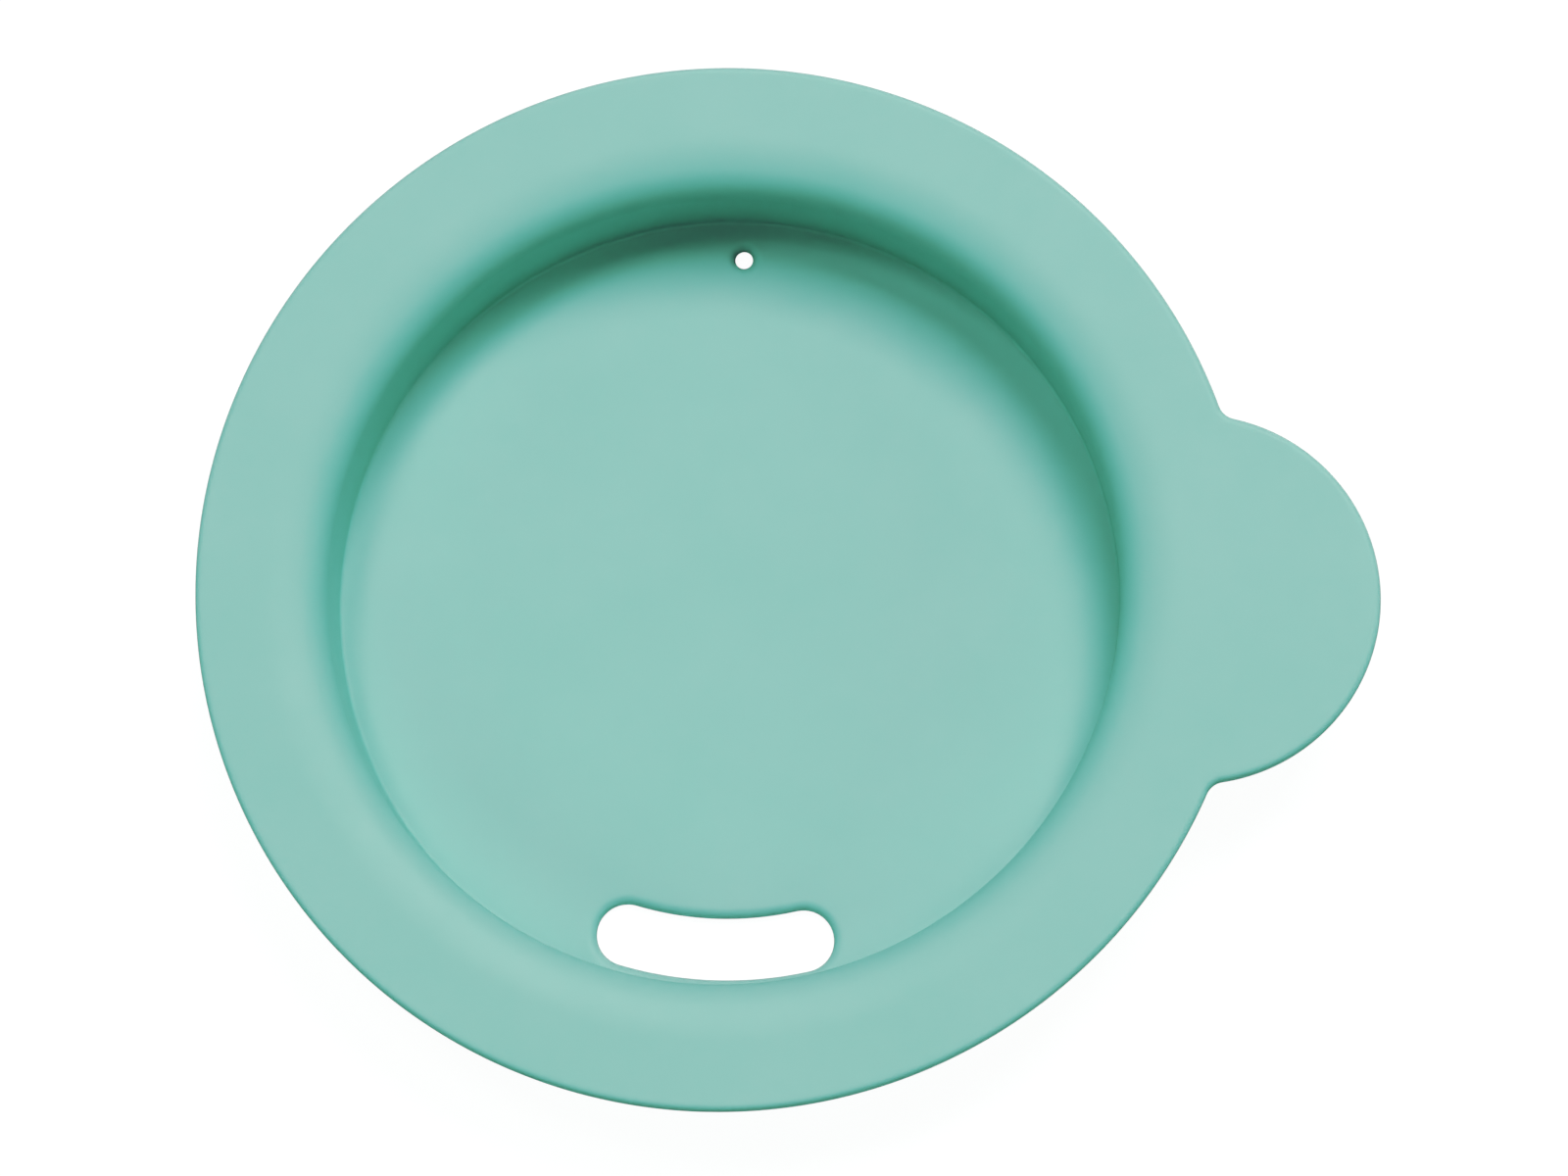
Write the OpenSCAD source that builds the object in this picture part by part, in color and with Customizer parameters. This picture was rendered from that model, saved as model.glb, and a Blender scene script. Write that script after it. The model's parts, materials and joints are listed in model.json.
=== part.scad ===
// Moulded silicone lid for a travel cup: a dished sheet whose wall plugs the cup's mouth,
// with a flange that rests on the rim, a drinking slot, a vent hole and a pull tab.
// The origin is the centre of the plug's flat underside. +Z points out of the cup,
// +X towards the pull tab and -Y towards the drinking slot.

/* [Sheet] */
// Thickness of the moulded sheet; the edges of slot and vent are rounded over half of it
sheet_t = 2; // [1.6:0.1:2]

/* [Flange] */
// Diameter of the round flange, without the tab
flange_d = 105; // [102:1:110]
// Radius of the two corners along the outer edge of flange and tab
corner_r = 0.6; // [0.2:0.1:0.8]
// Radius of the gentle curve that runs from the flat flange towards the recess
shoulder_r = 10; // [8:0.5:12]
// Slope, in degrees, at which the shoulder passes into the roll
shoulder_slope = 20; // [12:1:25]
// Radius of the roll over which the top turns down into the recess
roll_r = 3.8; // [3.2:0.1:4.5]

/* [Recess] */
// Depth of the recess below the flange's top
recess_depth = 13.5; // [12:0.5:18]
// Draft of the recess wall, in degrees
wall_draft = 0.5; // [0:0.25:0.75]
// Radius in the corner between floor and wall
foot_r = 0.4; // [0.2:0.1:0.4]

/* [Plug] */
// Diameter of the plug between its ribs
plug_d = 83.2; // [83.2:0.1:86]
// Radius of the outside corner at the plug's foot
plug_corner_r = 2; // [1:0.25:2.25]
// Number of sealing ribs round the plug
rib_count = 2; // [1:1:2]
// Height of the lowest rib's middle above the plug's underside
rib_z = 4.75; // [4.5:0.25:5.5]
// Distance from one rib to the next
rib_pitch = 3.5; // [3:0.25:3.75]
// How far a rib stands out of the plug
rib_h = 0.5; // [0.3:0.1:0.7]
// Width of a rib's sealing land
rib_land = 1; // [0.8:0.1:1.2]

/* [Drinking slot] */
// Radius of the arc that the slot's middle line follows
slot_r = 34.95; // [33:0.05:34.95]
// Width of the slot at its narrowest
slot_w = 6.2; // [5:0.1:6.2]
// Angle, in degrees, from one end's centre to the other's
slot_angle = 29.3; // [22:0.1:34]

/* [Vent] */
// Distance of the vent hole from the middle
vent_r = 35.7; // [30:0.1:37]
// Diameter of the vent hole at its narrowest
vent_d = 1.8; // [1.5:0.1:2.5]

/* [Pull tab] */
// Distance of the tab's centre from the lid's axis
tab_x = 46.8; // [45:0.1:49]
// Radius of the tab
tab_r = 18.5; // [16:0.5:20]
// Radius in the two corners between the tab and the flange
tab_fillet_r = 2; // [1.5:0.1:4]

/* [Hidden] */
silicone = "#92c7bf";

round_steps = 10;                      // straight steps in a quarter turn of any profile
edge_r = sheet_t / 2;                  // radius of the edges of slot and vent
flange_r = flange_d / 2;
top_z = sheet_t + recess_depth;        // flange's top above the plug's underside
rib_flank = rib_h * 1.2;               // height over which a rib's side runs down to the plug

// Centres of the roll and the shoulder. The plug's outside is tangent to the roll's inner face.
plug_r = plug_d / 2;
roll_x = plug_r + roll_r - sheet_t;
roll_z = top_z - shoulder_r * (1 - cos(shoulder_slope)) - roll_r * cos(shoulder_slope);
shoulder_x = roll_x + (shoulder_r - roll_r) * sin(shoulder_slope);
shoulder_z = top_z - shoulder_r;

// The recess wall runs down from the roll to the floor, leaning inwards by the draft.
wall_top_r = roll_x - roll_r * cos(wall_draft);
wall_top_z = roll_z + roll_r * sin(wall_draft);
recess_r = wall_top_r - (wall_top_z - sheet_t) * tan(wall_draft);

// Points of an arc about centre c, from angle a to angle b.
function arc(c, r, a, b) =
    let (n = max(2, ceil(abs(b - a) / 90 * round_steps)))
    [for (i = [0:n]) let (t = a + (b - a) * i / n) c + r * [cos(t), sin(t)]];

// One sealing rib's outline, from its lower foot to its upper foot.
function rib(z) = [
    [plug_r, z - rib_land / 2 - rib_flank],
    [plug_r + rib_h, z - rib_land / 2],
    [plug_r + rib_h, z + rib_land / 2],
    [plug_r, z + rib_land / 2 + rib_flank]
];

// Outer edge of the flat sheet at radius r, from its top to its underside. The sheet lies inside
// that radius where side is 1, and outside it where side is -1.
function outer_edge(r, side = 1) =
    let (x = r - side * corner_r)
    concat(
        arc([x, top_z - corner_r], corner_r, 90, 90 - side * 90),
        arc([x, top_z - sheet_t + corner_r], corner_r, 90 - side * 90, 90 - side * 180)
    );

// Half of the lid's cross-section: up the inside, over the flange and back underneath.
lid_section = concat(
    [[0, sheet_t]],
    arc([recess_r - foot_r, sheet_t + foot_r], foot_r, -90, -wall_draft),
    arc([roll_x, roll_z], roll_r, 180 - wall_draft, 90 + shoulder_slope),
    arc([shoulder_x, shoulder_z], shoulder_r, 90 + shoulder_slope, 90),
    outer_edge(flange_r),
    arc([shoulder_x, shoulder_z], shoulder_r - sheet_t, 90, 90 + shoulder_slope),
    arc([roll_x, roll_z], roll_r - sheet_t, 90 + shoulder_slope, 180),
    [for (i = [rib_count - 1:-1:0], p = [3:-1:0]) rib(rib_z + i * rib_pitch)[p]],
    arc([plug_r - plug_corner_r, plug_corner_r], plug_corner_r, 0, -90),
    [[0, 0]]
);

// Cross-section of the space that a rounded opening leaves, from its middle out to one side:
// half_w wide at the narrowest, and flared by edge_r where it meets both faces.
module flared_half(half_w) {
    polygon(concat(
        [[0, -1], [half_w + edge_r, -1]],
        arc([half_w + edge_r, edge_r], edge_r, 270, 90),
        [[half_w + edge_r, sheet_t + 1], [0, sheet_t + 1]]
    ));
}

// Space of the drinking slot: an arc about the lid's axis with round ends.
module slot_space() {
    half_w = slot_w / 2;
    rotate([0, 0, -90 - slot_angle / 2])
        rotate_extrude(angle = slot_angle, $fn = 180)
            translate([slot_r, 0]) {
                flared_half(half_w);
                mirror([1, 0]) flared_half(half_w);
            }
    for (side = [-1, 1])
        rotate([0, 0, -90 + side * slot_angle / 2])
            translate([slot_r, 0, 0])
                rotate_extrude($fn = 90) flared_half(half_w);
}

// Space of the vent hole, opposite the slot.
module vent_space() {
    translate([0, vent_r, 0])
        rotate_extrude($fn = 60) flared_half(vent_d / 2);
}

// The part of the tab outside the round flange.
module tab() {
    overlap = flange_r - 1.5 * sheet_t;   // the tab's sheet starts inside the flat flange
    difference() {
        translate([tab_x, 0, 0])
            rotate_extrude($fn = 120)
                polygon(concat([[0, top_z]], outer_edge(tab_r), [[0, top_z - sheet_t]]));
        translate([0, 0, top_z - sheet_t - 1]) cylinder(r = overlap, h = sheet_t + 2, $fn = 360);
    }
}

// Fills the corner between tab and flange with a hollow curve tangent to both.
// side is 1 for the corner on the +Y side and -1 for the other.
module tab_corner(side) {
    to_flange = flange_r + tab_fillet_r;
    to_tab = tab_r + tab_fillet_r;
    centre_x = (to_flange * to_flange - to_tab * to_tab + tab_x * tab_x) / (2 * tab_x);
    centre_y = sqrt(to_flange * to_flange - centre_x * centre_x);
    towards_flange = atan2(-centre_y, -centre_x);
    towards_tab = atan2(-centre_y, tab_x - centre_x);
    depth = 2 * sheet_t;               // how far the filling reaches into the sheet
    mirror([0, side < 0 ? 1 : 0, 0])
        translate([centre_x, centre_y, 0])
            rotate([0, 0, towards_flange])
                rotate_extrude(angle = towards_tab - towards_flange, $fn = 120)
                    polygon(concat(
                        [[tab_fillet_r + depth, top_z]],
                        outer_edge(tab_fillet_r, -1),
                        [[tab_fillet_r + depth, top_z - sheet_t]]
                    ));
}

module lid() {
    color(silicone) {
        difference() {
            rotate_extrude($fn = 360) polygon(lid_section);
            slot_space();
            vent_space();
        }
        tab();
        for (side = [-1, 1]) tab_corner(side);
    }
}

lid();
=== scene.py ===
"""A moulded silicone lid for a travel cup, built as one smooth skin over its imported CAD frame."""

import json
import math

import bmesh
import bpy
from mathutils import Matrix, Vector
from mathutils.geometry import delaunay_2d_cdt


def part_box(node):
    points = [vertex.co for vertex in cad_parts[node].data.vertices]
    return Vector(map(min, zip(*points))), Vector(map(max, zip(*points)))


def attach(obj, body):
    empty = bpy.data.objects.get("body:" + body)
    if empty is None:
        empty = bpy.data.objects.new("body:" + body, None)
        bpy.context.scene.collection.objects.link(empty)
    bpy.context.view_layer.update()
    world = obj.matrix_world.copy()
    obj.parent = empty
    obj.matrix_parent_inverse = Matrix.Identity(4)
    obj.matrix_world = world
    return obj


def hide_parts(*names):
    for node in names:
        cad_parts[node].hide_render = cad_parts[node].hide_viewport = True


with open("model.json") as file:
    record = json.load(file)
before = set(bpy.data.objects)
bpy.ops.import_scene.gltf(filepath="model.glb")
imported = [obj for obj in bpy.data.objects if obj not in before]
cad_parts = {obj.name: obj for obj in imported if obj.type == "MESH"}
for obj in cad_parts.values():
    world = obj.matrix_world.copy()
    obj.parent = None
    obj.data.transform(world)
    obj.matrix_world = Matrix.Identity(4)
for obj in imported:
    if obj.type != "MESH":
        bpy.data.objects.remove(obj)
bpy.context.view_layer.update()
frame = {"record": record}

# ---------------------------------------------------------------- sizes, in millimetres as in the CAD
MM = 0.001

lid_low, lid_high = (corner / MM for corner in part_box("lid"))
mounts = {mount["name"]: mount for mount in frame["record"]["mounts"]}

TOP_Z = lid_high.z                       # flange's top
FLANGE_R = lid_high.y                    # round flange, without the tab
RIB_CREST_R = mounts["plug_seal"]["dims"]["r_mm"]
SHEET_T = TOP_Z - mounts["rim_seat"]["pos_m"][2] / MM
EDGE_R = SHEET_T / 2                     # slot and vent are rounded over half the sheet
CORNER_R = 0.6                           # the two corners along the outer edge

SHOULDER_R = 10.0
SHOULDER_SLOPE = math.radians(20)
ROLL_R = 3.8
WALL_DRAFT = math.radians(0.5)
FOOT_R = 0.4

RIB_H = 0.5
RIB_LAND = 1.0
RIB_FLANK = 1.2 * RIB_H
RIB_HEIGHTS = (8.25, 4.75)               # middles of the two sealing ribs, from the top down
PLUG_R = RIB_CREST_R - RIB_H
PLUG_CORNER_R = 2.0

SLOT_R = 34.95
SLOT_HALF_W = 3.1
SLOT_HALF_ANGLE = math.radians(29.3 / 2)
SLOT_MIDDLE = -math.pi / 2
VENT = Vector((0, 35.7))
VENT_R = 0.9

TAB_R = 18.5
TAB_X = lid_high.x - TAB_R
TAB_FILLET_R = 2.0

SEAM_H = 0.03                            # the mould's parting line, round the middle of the outer edge
SEAM_HALF_W = 0.12
RIB_EDGE_R = 0.18                        # the ribs' edges, which are sharp in the CAD

# Centres of the roll and the shoulder, as in the CAD
ROLL_X = PLUG_R + ROLL_R - SHEET_T
ROLL_Z = TOP_Z - SHOULDER_R * (1 - math.cos(SHOULDER_SLOPE)) - ROLL_R * math.cos(SHOULDER_SLOPE)
SHOULDER_X = ROLL_X + (SHOULDER_R - ROLL_R) * math.sin(SHOULDER_SLOPE)
SHOULDER_Z = TOP_Z - SHOULDER_R
WALL_TOP_R = ROLL_X - ROLL_R * math.cos(WALL_DRAFT)
WALL_TOP_Z = ROLL_Z + ROLL_R * math.sin(WALL_DRAFT)
RECESS_R = WALL_TOP_R - (WALL_TOP_Z - SHEET_T) * math.tan(WALL_DRAFT)


# ---------------------------------------------------------------- outline and profile

def along(count):
    """Shares from 0 to 1 in equal steps, both ends included."""
    return [i / count for i in range(count + 1)]


def ray(angle):
    return Vector((math.cos(angle), math.sin(angle)))


def arc(centre, radius, start, end, steps):
    """Points of an arc in a plane, both ends included; the angles are in radians."""
    return [Vector(centre) + radius * ray(start + (end - start) * t) for t in along(steps)]


def rim_stretch(centre, radius, start, end, steps, hollow=False):
    """One arc of the lid's outer edge without its last point: (edge point, outward normal) pairs."""
    pairs = []
    for t in along(steps)[:-1]:
        d = ray(start + (end - start) * t)
        pairs.append((Vector(centre) + radius * d, -d if hollow else d))
    return pairs


def lid_rim():
    """The outer edge, anticlockwise from the flange's corner with the tab.

    Returns (edge point, outward normal) pairs, and for each the angle at which the round part
    of the lid is cut. The angles are spread evenly behind the tab, so that no face is squeezed.
    """
    to_flange = FLANGE_R + TAB_FILLET_R
    to_tab = TAB_R + TAB_FILLET_R
    x = (to_flange**2 - to_tab**2 + TAB_X**2) / (2 * TAB_X)
    y = math.sqrt(to_flange**2 - x**2)
    at_flange = math.atan2(y, x)
    at_tab = math.atan2(y, x - TAB_X)
    corner_steps, tab_steps, flange_steps = 10, 76, 316
    back = math.pi

    lip = rim_stretch((x, -y), TAB_FILLET_R, back - at_flange, back - at_tab, corner_steps, hollow=True)
    lip += rim_stretch((TAB_X, 0), TAB_R, -at_tab, at_tab, tab_steps)
    lip += rim_stretch((x, y), TAB_FILLET_R, back + at_tab, back + at_flange, corner_steps, hollow=True)
    flange = rim_stretch((0, 0), FLANGE_R, at_flange, 2 * math.pi - at_flange, flange_steps)

    travelled = [0.0]
    for (a, _), (b, _) in zip(lip, lip[1:] + flange[:1]):
        travelled.append(travelled[-1] + (b - a).length)
    angles = [at_flange * (2 * s / travelled[-1] - 1) for s in travelled[:-1]]
    angles += [at_flange + (2 * math.pi - 2 * at_flange) * t for t in along(flange_steps)[:-1]]
    return lip + flange, angles


def rounded(points, radius, steps=4):
    """The same open line with each inner corner rounded."""
    line = [points[0]]
    for before, corner, after in zip(points, points[1:], points[2:]):
        a = (before - corner).normalized()
        b = (after - corner).normalized()
        half = a.angle(b) / 2
        reach = radius / math.tan(half)
        centre = corner + (a + b).normalized() * (radius / math.sin(half))
        start = corner + a * reach - centre
        turn = math.copysign(math.pi - 2 * half, start.cross(corner + b * reach - centre))
        for t in along(steps):
            line.append(centre + Matrix.Rotation(turn * t, 2) @ start)
    return line + [points[-1]]


def upper_profile():
    """(radius, height) points of the recess from its floor up to the flat flange."""
    quarter = math.pi / 2
    line = arc((RECESS_R - FOOT_R, SHEET_T + FOOT_R), FOOT_R, -quarter, -WALL_DRAFT, 6)
    foot, head = line.pop(), Vector((WALL_TOP_R, WALL_TOP_Z))
    line += [foot.lerp(head, t) for t in along(8)[:-1]]
    line += arc((ROLL_X, ROLL_Z), ROLL_R, math.pi - WALL_DRAFT, quarter + SHOULDER_SLOPE, 16)[:-1]
    line += arc((SHOULDER_X, SHOULDER_Z), SHOULDER_R, quarter + SHOULDER_SLOPE, quarter, 7)
    return line


def lower_profile():
    """(radius, height) points of the plug from the flat flange down to its flat underside."""
    quarter = math.pi / 2
    inner_r = SHOULDER_R - SHEET_T
    line = arc((SHOULDER_X, SHOULDER_Z), inner_r, quarter, quarter + SHOULDER_SLOPE, 6)[:-1]
    line += arc((ROLL_X, ROLL_Z), ROLL_R - SHEET_T, quarter + SHOULDER_SLOPE, math.pi, 9)
    wall = [line.pop()]
    for z in RIB_HEIGHTS:
        for side in (1, -1):
            land, foot = z + side * RIB_LAND / 2, z + side * (RIB_LAND / 2 + RIB_FLANK)
            crest, root = Vector((RIB_CREST_R, land)), Vector((PLUG_R, foot))
            wall += [root, crest] if side > 0 else [crest, root]
    wall.append(Vector((PLUG_R, PLUG_CORNER_R)))
    line += rounded(wall, RIB_EDGE_R)[:-1]
    return line + arc((PLUG_R - PLUG_CORNER_R, PLUG_CORNER_R), PLUG_CORNER_R, 0, -quarter, 9)


def outer_edge(steps):
    """The outer edge from the flange's top to its underside, with the parting line between its corners.

    Returns (distance in from the edge, height above the sheet's middle) pairs.
    """
    face = SEAM_H                        # the face lies this far inside the parting line's crest
    corner = arc((face + CORNER_R, EDGE_R - CORNER_R), CORNER_R, math.pi / 2, math.pi, steps)
    low = corner[-1].y
    upper = [tuple(p) for p in corner]
    upper += [(face, SEAM_HALF_W + (low - SEAM_HALF_W) * t) for t in (0.85, 0.4, 0.0)]
    upper += [(face / 4, SEAM_HALF_W / 2), (0.0, 0.0)]
    return upper + [(inset, -height) for inset, height in reversed(upper[:-1])]


# ---------------------------------------------------------------- slot and vent

def slot_loop(reach):
    """The line at a distance from the slot's middle arc, anticlockwise."""
    a, m = SLOT_HALF_ANGLE, SLOT_MIDDLE
    far = arc((0, 0), SLOT_R + reach, m - a, m + a, 30)[:-1]
    far_cap = arc(SLOT_R * ray(m + a), reach, m + a, m + a + math.pi, 22)[:-1]
    near = arc((0, 0), SLOT_R - reach, m + a, m - a, 30)[:-1]
    near_cap = arc(SLOT_R * ray(m - a), reach, m - a + math.pi, m - a + 2 * math.pi, 22)[:-1]
    return far + far_cap + near + near_cap


def vent_loop(reach):
    return arc(VENT, reach, 0, 2 * math.pi, 36)[:-1]


def slot_distance(p):
    """Distance of a point from the slot's middle arc."""
    turn = math.remainder(math.atan2(p.y, p.x) - SLOT_MIDDLE, 2 * math.pi)
    nearest = max(-SLOT_HALF_ANGLE, min(SLOT_HALF_ANGLE, turn))
    return (p - SLOT_R * ray(SLOT_MIDDLE + nearest)).length


def in_floor(p, rim_r, gap):
    """Whether a point is on the flat floor, at least gap away from each of its edges."""
    return (p.length < rim_r - gap
            and slot_distance(p) > SLOT_HALF_W + EDGE_R + gap
            and (p - VENT).length > VENT_R + EDGE_R + gap)


def flat_floor(rim):
    """Corner points and faces of the flat floor inside a loop of points, with its two holes cut out."""
    rim_r = rim[0].length
    loops = [rim, slot_loop(SLOT_HALF_W + EDGE_R), vent_loop(VENT_R + EDGE_R)]
    points, edges = [], []
    for loop in loops:
        first = len(points)
        points += loop
        edges += [(first + i, first + (i + 1) % len(loop)) for i in range(len(loop))]

    # A close ring of points along each edge keeps the shading flat right up to it.
    close, spacing = 0.3, 1.7
    points += [p * (1 - close / rim_r) for p in rim if in_floor(p * (1 - close / rim_r), rim_r, close * 0.9)]
    for ring in (slot_loop(SLOT_HALF_W + EDGE_R + close), vent_loop(VENT_R + EDGE_R + close)):
        points += [p for p in ring if in_floor(p, rim_r, close * 0.9)]
    count = int(rim_r / spacing)
    grid = [Vector((i, j)) * spacing for i in range(-count, count + 1) for j in range(-count, count + 1)]
    points += [p for p in grid if in_floor(p, rim_r, 0.6 * spacing)]

    corners, _, faces, *_ = delaunay_2d_cdt(points, edges, [], 1, 1e-5)
    middles = [sum((corners[i] for i in f), Vector((0, 0))) / len(f) for f in faces]
    return corners, [f for f, middle in zip(faces, middles) if in_floor(middle, rim_r, -1e-3)]


# ---------------------------------------------------------------- the lid's skin

def lid_mesh():
    bm = bmesh.new()
    wear = bm.verts.layers.float.new("wear")       # 1 on the edges that hands and mouths rub
    rim, angles = lid_rim()

    def ring(points, z, rubbed=0.0):
        verts = [bm.verts.new((p.x, p.y, z)) for p in points]
        for v in verts:
            v[wear] = rubbed
        return verts

    def join(rings):
        for a, b in zip(rings, rings[1:]):
            for i in range(len(a)):
                j = (i + 1) % len(a)
                bm.faces.new((a[i], a[j], b[j], b[i]))

    def round_points(radius):
        return [radius * ray(angle) for angle in angles]

    def edge_points(inset):
        return [point - normal * inset for point, normal in rim]

    def flange_rings(z, shares):
        """Rings over the flat flange, which turn from the round shoulder into the outline with the tab."""
        from_shoulder, from_corner = 0.25, 0.35
        inner = round_points(SHOULDER_X + from_shoulder)
        outer = edge_points(CORNER_R + from_corner)
        return [ring([a.lerp(b, t) for a, b in zip(inner, outer)], z) for t in shares]

    middle_z = TOP_Z - EDGE_R
    across = along(9)
    rings = [ring(round_points(r), z) for r, z in upper_profile()]
    rings += flange_rings(TOP_Z, across)
    for inset, height in outer_edge(6):
        rubbed = 1 - min(1, inset / (SEAM_H + CORNER_R))
        rings.append(ring(edge_points(inset), middle_z + height, rubbed))
    rings += flange_rings(TOP_Z - SHEET_T, reversed(across))
    rings += [ring(round_points(r), z) for r, z in lower_profile()]
    join(rings)

    # The floor's two flat faces, and between them the round edges of the slot and the vent
    for loop, z in ((rings[0], SHEET_T), (rings[-1], 0.0)):
        corners, faces = flat_floor([v.co.xy for v in loop])
        verts = ring(corners, z)
        for f in faces:
            bm.faces.new([verts[i] for i in f])
    for loop, half_w in ((slot_loop, SLOT_HALF_W), (vent_loop, VENT_R)):
        turns = [math.pi / 2 - math.pi * t for t in along(14)]
        join([ring(loop(half_w + EDGE_R * (1 - math.cos(a))), EDGE_R * (1 + math.sin(a)), math.cos(a))
              for a in turns])

    bmesh.ops.remove_doubles(bm, verts=bm.verts, dist=1e-3)
    flat = [f for f in bm.faces if len(f.verts) == 3]
    bmesh.ops.join_triangles(bm, faces=flat, angle_face_threshold=0.01, angle_shape_threshold=0.7)
    bmesh.ops.recalc_face_normals(bm, faces=bm.faces)
    bmesh.ops.scale(bm, verts=bm.verts, vec=(MM, MM, MM))
    for f in bm.faces:
        f.smooth = True
    mesh = bpy.data.meshes.new("lid_skin")
    bm.to_mesh(mesh)
    bm.free()
    return mesh


# ---------------------------------------------------------------- materials

def node_tree(name):
    """A new material, and a function that adds a node to it with its values and links."""
    material = bpy.data.materials.new(name)
    material.use_nodes = True
    tree = material.node_tree
    tree.nodes.clear()

    def add(kind, inputs=None, **settings):
        node = tree.nodes.new(kind)
        for key, value in settings.items():
            setattr(node, key, value)
        for key, value in (inputs or {}).items():
            if isinstance(value, bpy.types.NodeSocket):
                tree.links.new(value, node.inputs[key])
            else:
                node.inputs[key].default_value = value
        return node

    return material, add


def silicone():
    """Matt mint silicone rubber: slightly translucent, with a fine mould grain and a soft dusty bloom."""
    material, add = node_tree("mint_silicone")
    place = add("ShaderNodeTexCoord").outputs["Object"]
    wear = add("ShaderNodeAttribute", attribute_name="wear").outputs["Fac"]

    def noise(size_mm, detail, roughness=0.5):
        inputs = {"Vector": place, "Scale": 1 / (size_mm * MM), "Detail": detail, "Roughness": roughness}
        return add("ShaderNodeTexNoise", inputs).outputs["Fac"]

    def span(value, low, high, to_low, to_high):
        inputs = {"Value": value, "From Min": low, "From Max": high, "To Min": to_low, "To Max": to_high}
        return add("ShaderNodeMapRange", inputs).outputs["Result"]

    # Colour: the pigment drifts a little over centimetres, and the rubbed edges are a touch paler.
    drift = add("ShaderNodeMix", {"Factor": span(noise(14, 2), 0.3, 0.7, 0, 1),
                                  "A": (0.305, 0.567, 0.522, 1), "B": (0.317, 0.575, 0.534, 1)},
                data_type="RGBA")
    mottle = add("ShaderNodeMix", {"Factor": span(wear, 0, 1, 0, 0.25),
                                   "A": drift.outputs["Result"], "B": (0.38, 0.62, 0.58, 1)},
                 data_type="RGBA")

    # Relief: the grain of a blasted mould, over very shallow flow ripples.
    grain = add("ShaderNodeBump", {"Height": noise(0.16, 3, 0.6), "Strength": 0.35, "Distance": 0.006 * MM})
    ripple = add("ShaderNodeBump", {"Height": noise(7, 1), "Strength": 0.5, "Distance": 0.02 * MM,
                                    "Normal": grain.outputs["Normal"]})

    # Gloss: patches a few millimetres wide differ slightly, and the rubbed edges are smoother.
    patches = span(noise(3.5, 3), 0.3, 0.7, 0.54, 0.62)
    gloss = add("ShaderNodeMath", {0: patches, 1: span(wear, 0, 1, 0, 0.1)}, operation="SUBTRACT")

    shader = add("ShaderNodeBsdfPrincipled", {
        "Base Color": mottle.outputs["Result"],
        "Roughness": gloss.outputs["Value"],
        "Normal": ripple.outputs["Normal"],
        "IOR": 1.41,
        "Subsurface Weight": 0.2,
        "Subsurface Radius": (0.7, 1.0, 0.95),
        "Subsurface Scale": 0.6 * MM,
        "Sheen Weight": 0.08,
        "Sheen Roughness": 0.5,
    })
    add("ShaderNodeOutputMaterial", {"Surface": shader.outputs["BSDF"]})
    return material


def table_top():
    """A plain pale table, which the camera sees bright and with a faint shadow.

    To the lid it is plain paint, which gives back 60% of the light.
    """
    material, add = node_tree("white_table")
    camera_ray = add("ShaderNodeLightPath").outputs["Is Camera Ray"]
    paint = add("ShaderNodeBsdfDiffuse", {"Color": (0.9, 0.9, 0.9, 1)})
    glow = add("ShaderNodeEmission", {"Color": (1, 1, 1, 1), "Strength": 1.08})
    bright = add("ShaderNodeMixShader", {0: 0.88, 1: paint.outputs["BSDF"], 2: glow.outputs["Emission"]})
    dim = add("ShaderNodeBsdfDiffuse", {"Color": (0.6, 0.6, 0.6, 1)})
    seen = add("ShaderNodeMixShader", {0: camera_ray, 1: dim.outputs["BSDF"], 2: bright.outputs["Shader"]})
    add("ShaderNodeOutputMaterial", {"Surface": seen.outputs["Shader"]})
    return material


# ---------------------------------------------------------------- lid

lid = bpy.data.objects.new("lid_skin", lid_mesh())
bpy.context.scene.collection.objects.link(lid)
lid.data.materials.append(silicone())
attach(lid, "root")
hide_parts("lid")

# ---------------------------------------------------------------- table, light and camera

TABLE_HALF_W = 4.0
bpy.ops.mesh.primitive_plane_add(size=2 * TABLE_HALF_W, location=(0, 0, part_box("lid")[0].z))
table = bpy.context.object
table.name = "table"
table.data.materials.append(table_top())


LIGHT_DISTANCE = 3.0


def soft_light(name, azimuth, elevation, width, power, colour=(1, 1, 1)):
    """A square soft light aimed at the lid, its place given in degrees round it and above the table."""
    lamp = bpy.data.lights.new(name, "AREA")
    lamp.size, lamp.energy, lamp.color = width, power, colour
    light = bpy.data.objects.new(name, lamp)
    a, e = math.radians(azimuth), math.radians(elevation)
    away = Vector((math.cos(a) * math.cos(e), math.sin(a) * math.cos(e), math.sin(e)))
    light.location = away * LIGHT_DISTANCE
    light.rotation_euler = away.to_track_quat("Z", "Y").to_euler()
    bpy.context.scene.collection.objects.link(light)


FILL_COLOUR = (0.45, 1.0, 0.82)          # as light that has come through the silicone
SKY_STRENGTH = 0.03
soft_light("key", azimuth=67, elevation=58, width=1.3, power=60.5)
soft_light("second", azimuth=136, elevation=69.5, width=0.6, power=14.4)
soft_light("front", azimuth=285, elevation=78, width=1.1, power=9.6)
soft_light("east", azimuth=0, elevation=20, width=1.0, power=14, colour=FILL_COLOUR)
soft_light("west", azimuth=180, elevation=26, width=1.2, power=8.6, colour=FILL_COLOUR)
soft_light("south_west", azimuth=240, elevation=40, width=1.0, power=9.6, colour=FILL_COLOUR)


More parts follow.
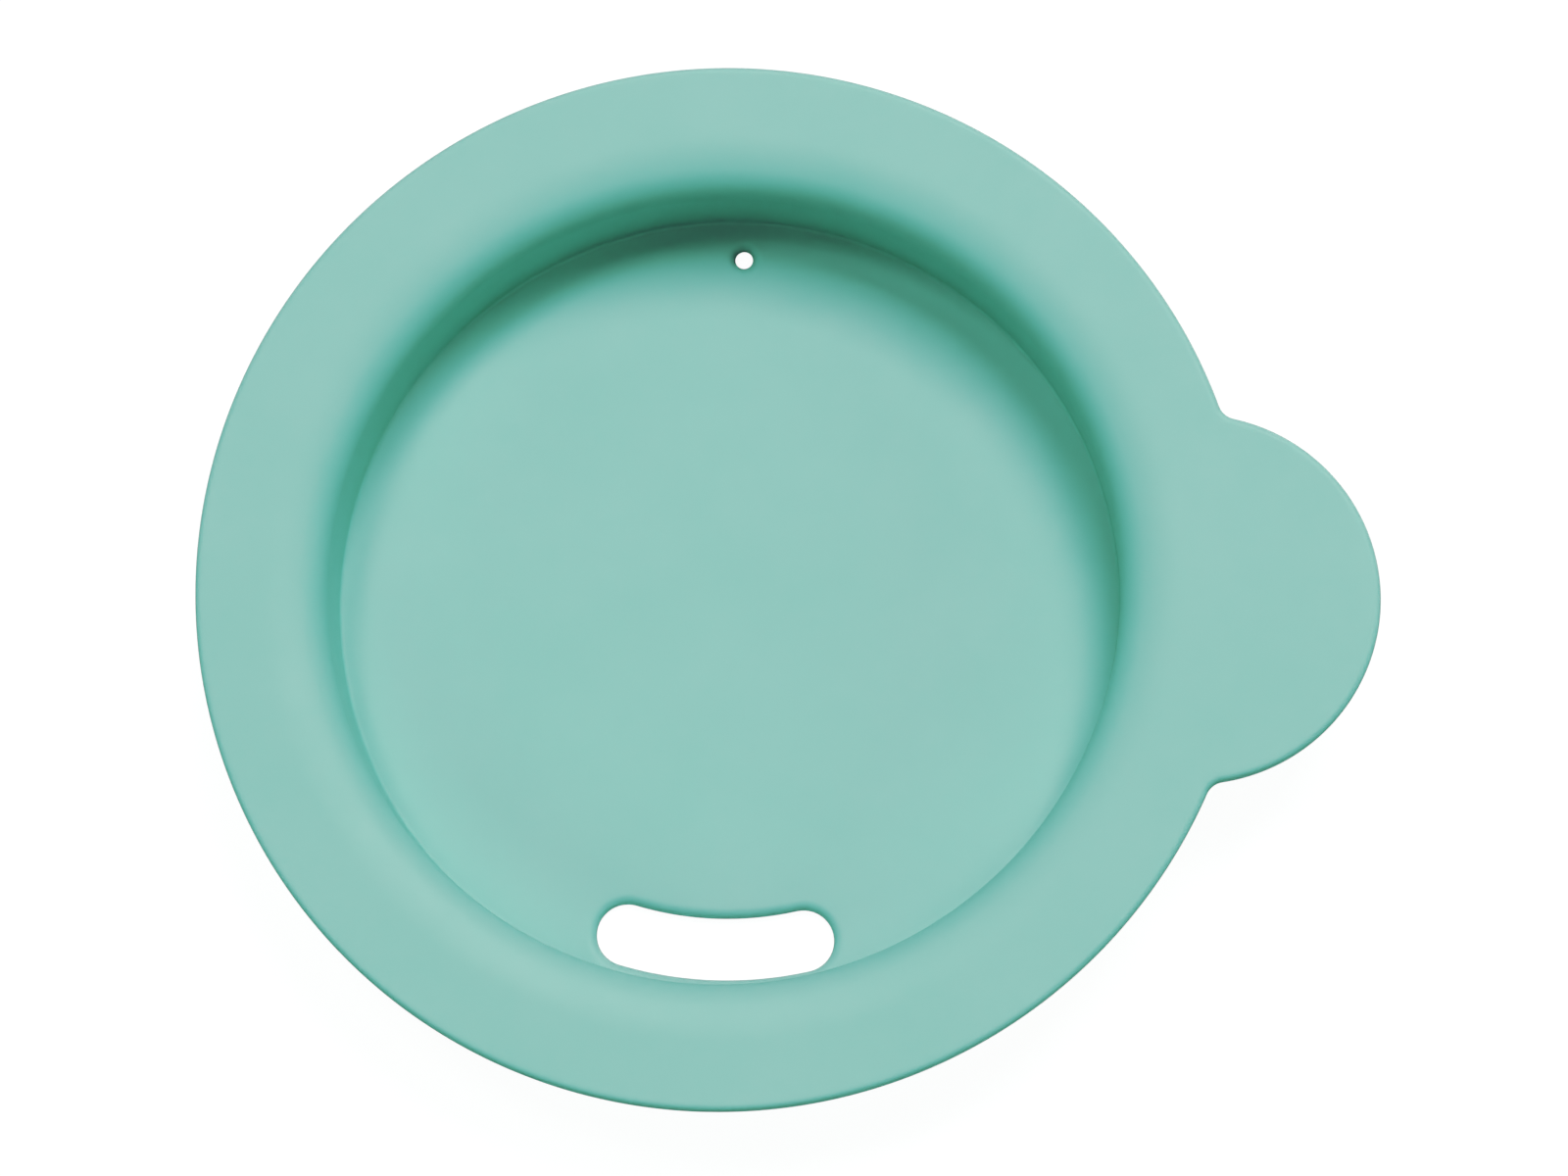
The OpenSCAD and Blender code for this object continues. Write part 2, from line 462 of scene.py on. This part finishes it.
def studio():
    """Weak light from all round, and a pale backdrop to the camera."""
    world = bpy.data.worlds.new("studio")
    world.use_nodes = True
    tree = world.node_tree
    path = tree.nodes.new("ShaderNodeLightPath")
    sky = tree.nodes.new("ShaderNodeMix")
    sky.data_type = "RGBA"
    sky.inputs["A"].default_value = (*(SKY_STRENGTH * part for part in FILL_COLOUR), 1)
    sky.inputs["B"].default_value = (1, 1, 1, 1)
    tree.links.new(path.outputs["Is Camera Ray"], sky.inputs["Factor"])
    tree.links.new(sky.outputs["Result"], tree.nodes["Background"].inputs["Color"])
    return world


bpy.context.scene.world = studio()

CAMERA_TILT = math.radians(9.9)          # off the lid's axis
CAMERA_AZIMUTH = math.radians(-69.9)     # the side that it tilts towards
CAMERA_ROLL = math.radians(2.36)
CAMERA_DISTANCE = 0.7
CAMERA_AIM = Vector((6.31, -0.36, TOP_Z)) * MM
LENS_MM = 162.2


def camera():
    data = bpy.data.cameras.new("camera")
    data.lens, data.sensor_width = LENS_MM, 36
    eye = bpy.data.objects.new("camera", data)
    back = Vector((*(math.sin(CAMERA_TILT) * ray(CAMERA_AZIMUTH)), math.cos(CAMERA_TILT)))
    right = Vector((0, 1, 0)).cross(back).normalized()
    turn = Matrix((right, back.cross(right), back)).transposed() @ Matrix.Rotation(CAMERA_ROLL, 3, "Z")
    eye.matrix_world = Matrix.Translation(CAMERA_AIM + back * CAMERA_DISTANCE) @ turn.to_4x4()
    bpy.context.scene.collection.objects.link(eye)
    return eye


bpy.context.scene.camera = camera()

RED, GREEN, ALL = 0, 1, 3                # places of the colours' curves in Blender's list


def tone_curves(view, bends):
    """A print's contrast, deeper in shadow and greener in half shade; the lit parts stay as they are."""
    view.view_transform = "Standard"
    view.use_curve_mapping = True
    for channel, points in bends.items():
        for light, tone in points:
            view.curve_mapping.curves[channel].points.new(light, tone)
    view.curve_mapping.update()


tone_curves(bpy.context.scene.view_settings, {
    ALL: ((0.105, 0.05), (0.2, 0.16), (0.35, 0.35), (0.6, 0.595)),
    RED: ((0.09, 0.1), (0.2, 0.18), (0.3, 0.303)),
    GREEN: ((0.15, 0.146), (0.23, 0.246), (0.55, 0.55)),
})
